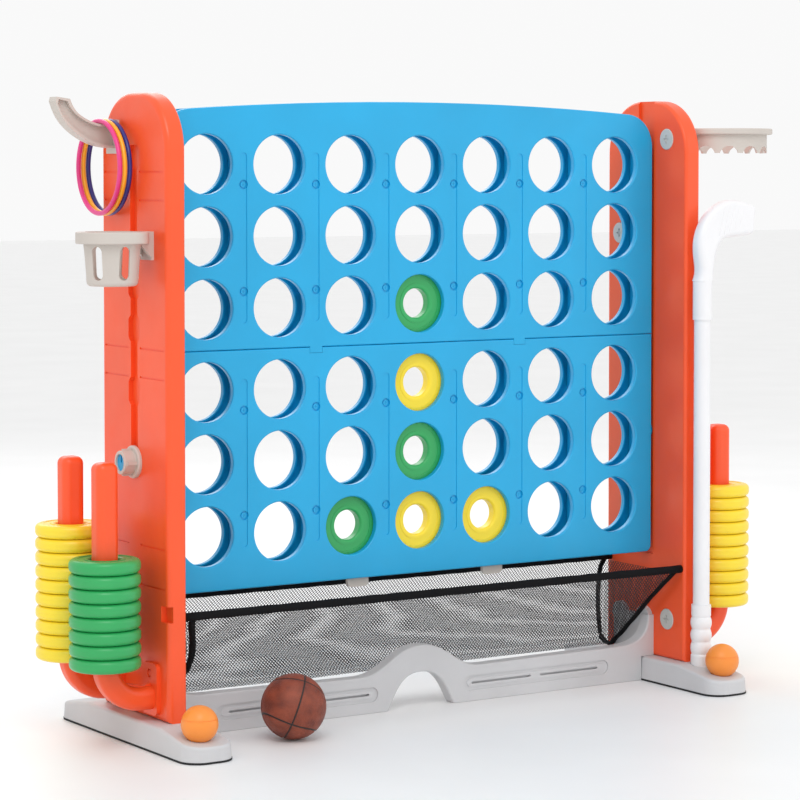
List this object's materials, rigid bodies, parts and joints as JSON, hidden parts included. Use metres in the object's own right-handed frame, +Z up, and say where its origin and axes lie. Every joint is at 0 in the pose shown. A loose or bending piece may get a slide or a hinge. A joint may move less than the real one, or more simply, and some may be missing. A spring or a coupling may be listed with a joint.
{
  "type": "giant four in a row",
  "caption": "Free-standing giant four in a row board between two towers, with ring storage posts, catch net, basketball hoop, ring toss hook, cup holder and golf arch.",
  "frame": {"origin": "on the floor, at the middle of the overall length and depth; the board is centred 22.5 mm to the left of it", "axes": "+X along the board to the right, +Y from the front to the back, +Z up"},
  "size_m": [1.419, 0.477, 1.0595],
  "materials": {
    "orange_plastic": "smooth blow-moulded",
    "blue_plastic": "smooth moulded",
    "base_plastic": "fine texture",
    "beige_plastic": "fine texture",
    "green_plastic": "smooth moulded",
    "yellow_plastic": "smooth moulded",
    "ball_orange": "smooth moulded",
    "ball_brown": "pebbled",
    "white_plastic": "smooth moulded",
    "pink_plastic": "smooth",
    "amber_plastic": "smooth",
    "navy_plastic": "smooth",
    "screw_grey": "fine texture",
    "sole_rubber": "matte",
    "black_mesh": "woven",
    "steel": "satin"
  },
  "bodies": {
    "frame": {"left_tower_outer_shell": "orange_plastic", "left_tower_inner_shell": "orange_plastic", "left_cap_screws": "screw_grey", "left_lock_stud": "blue_plastic", "left_foot": "base_plastic", "left_foot_sole": "sole_rubber", "left_front_post": "orange_plastic", "left_rear_post": "orange_plastic", "right_tower_outer_shell": "orange_plastic", "right_tower_inner_shell": "orange_plastic", "right_cap_screws": "screw_grey", "right_lock_stud": "blue_plastic", "right_foot": "base_plastic", "right_foot_sole": "sole_rubber", "right_front_post": "orange_plastic", "right_rear_post": "orange_plastic", "upper_front_panel": "blue_plastic", "upper_back_panel": "blue_plastic", "upper_column_guides": "blue_plastic", "upper_panel_screws": "blue_plastic", "lower_front_panel": "blue_plastic", "lower_back_panel": "blue_plastic", "lower_column_guides": "blue_plastic", "lower_panel_screws": "blue_plastic", "base_crossbar": "base_plastic", "front_net_rod": "steel", "rear_net_rod": "steel", "catch_net": "black_mesh", "ring_hook": "beige_plastic", "cup_holder": "beige_plastic", "ball_hoop": "beige_plastic"},
    "left_gate": {"left_release_gate": "beige_plastic"},
    "left_nut": {"left_lock_nut": "beige_plastic"},
    "right_gate": {"right_release_gate": "beige_plastic"},
    "right_nut": {"right_lock_nut": "beige_plastic"},
    "left_front_rings": {"left_front_ring_stack": "green_plastic"},
    "left_rear_rings": {"left_rear_ring_stack": "yellow_plastic"},
    "right_front_rings": {"right_front_ring_stack": "yellow_plastic"},
    "right_rear_rings": {"right_rear_ring_stack": "green_plastic"},
    "toss_pink": {"toss_ring_pink": "pink_plastic"},
    "toss_yellow": {"toss_ring_yellow": "amber_plastic"},
    "toss_navy": {"toss_ring_navy": "navy_plastic"},
    "ring_green_low": {"board_ring_green_low": "green_plastic"},
    "ring_yellow_side": {"board_ring_yellow_side": "yellow_plastic"},
    "ring_yellow_low": {"board_ring_yellow_low": "yellow_plastic"},
    "ring_green_mid": {"board_ring_green_mid": "green_plastic"},
    "ring_yellow_mid": {"board_ring_yellow_mid": "yellow_plastic"},
    "ring_green_top": {"board_ring_green_top": "green_plastic"},
    "ball": {"basketball": "ball_brown"},
    "left_golf": {"left_golf_ball": "ball_orange"},
    "right_golf": {"right_golf_ball": "ball_orange"},
    "club": {"club_shaft": "white_plastic", "club_grip": "white_plastic", "club_head": "white_plastic"}
  },
  "joints": [
    {"name": "left_gate_slide", "type": "slide", "parent": "frame", "child": "left_gate", "axis": [-1, 0, 0], "range_m": [0, 0.07]},
    {"name": "left_nut_turn", "type": "hinge", "parent": "frame", "child": "left_nut", "pos_m": [-0.5785, 0, 0.457], "axis": [-1, 0, 0], "range_deg": [0, 90]},
    {"name": "right_gate_slide", "type": "slide", "parent": "frame", "child": "right_gate", "axis": [1, 0, 0], "range_m": [0, 0.07]},
    {"name": "right_nut_turn", "type": "hinge", "parent": "frame", "child": "right_nut", "pos_m": [0.5335, 0, 0.457], "axis": [1, 0, 0], "range_deg": [0, 90]},
    {"name": "left_front_rings_lift", "type": "slide", "parent": "frame", "child": "left_front_rings", "axis": [0, 0, 1], "range_m": [0, 0.34]},
    {"name": "left_rear_rings_lift", "type": "slide", "parent": "frame", "child": "left_rear_rings", "axis": [0, 0, 1], "range_m": [0, 0.34]},
    {"name": "right_front_rings_lift", "type": "slide", "parent": "frame", "child": "right_front_rings", "axis": [0, 0, 1], "range_m": [0, 0.34]},
    {"name": "right_rear_rings_lift", "type": "slide", "parent": "frame", "child": "right_rear_rings", "axis": [0, 0, 1], "range_m": [0, 0.34]},
    {"name": "toss_pink_lift", "type": "slide", "parent": "frame", "child": "toss_pink", "axis": [0, 0, 1], "range_m": [0, 0.08]},
    {"name": "toss_yellow_lift", "type": "slide", "parent": "frame", "child": "toss_yellow", "axis": [0, 0, 1], "range_m": [0, 0.08]},
    {"name": "toss_navy_lift", "type": "slide", "parent": "frame", "child": "toss_navy", "axis": [0, 0, 1], "range_m": [0, 0.08]},
    {"name": "ring_green_low_drop", "type": "slide", "parent": "frame", "child": "ring_green_low", "axis": [0, 0, 1], "range_m": [0, 0.8]},
    {"name": "ring_yellow_side_drop", "type": "slide", "parent": "frame", "child": "ring_yellow_side", "axis": [0, 0, 1], "range_m": [0, 0.8]},
    {"name": "ring_yellow_low_drop", "type": "slide", "parent": "frame", "child": "ring_yellow_low", "axis": [0, 0, 1], "range_m": [0, 0.8]},
    {"name": "ring_green_mid_drop", "type": "slide", "parent": "ring_yellow_low", "child": "ring_green_mid", "axis": [0, 0, 1], "range_m": [0, 0.12]},
    {"name": "ring_yellow_mid_drop", "type": "slide", "parent": "ring_green_mid", "child": "ring_yellow_mid", "axis": [0, 0, 1], "range_m": [0, 0.12]},
    {"name": "ring_green_top_drop", "type": "slide", "parent": "ring_yellow_mid", "child": "ring_green_top", "axis": [0, 0, 1], "range_m": [0, 0.12]},
    {"name": "ball_roll", "type": "slide", "parent": "frame", "child": "ball", "axis": [0, -1, 0], "range_m": [0, 0.3]},
    {"name": "left_golf_lift", "type": "slide", "parent": "frame", "child": "left_golf", "axis": [0, 0, 1], "range_m": [0, 0.1]},
    {"name": "right_golf_lift", "type": "slide", "parent": "frame", "child": "right_golf", "axis": [0, 0, 1], "range_m": [0, 0.1]},
    {"name": "club_lift", "type": "slide", "parent": "frame", "child": "club", "axis": [0, 0, 1], "range_m": [0, 0.06]}
  ]
}
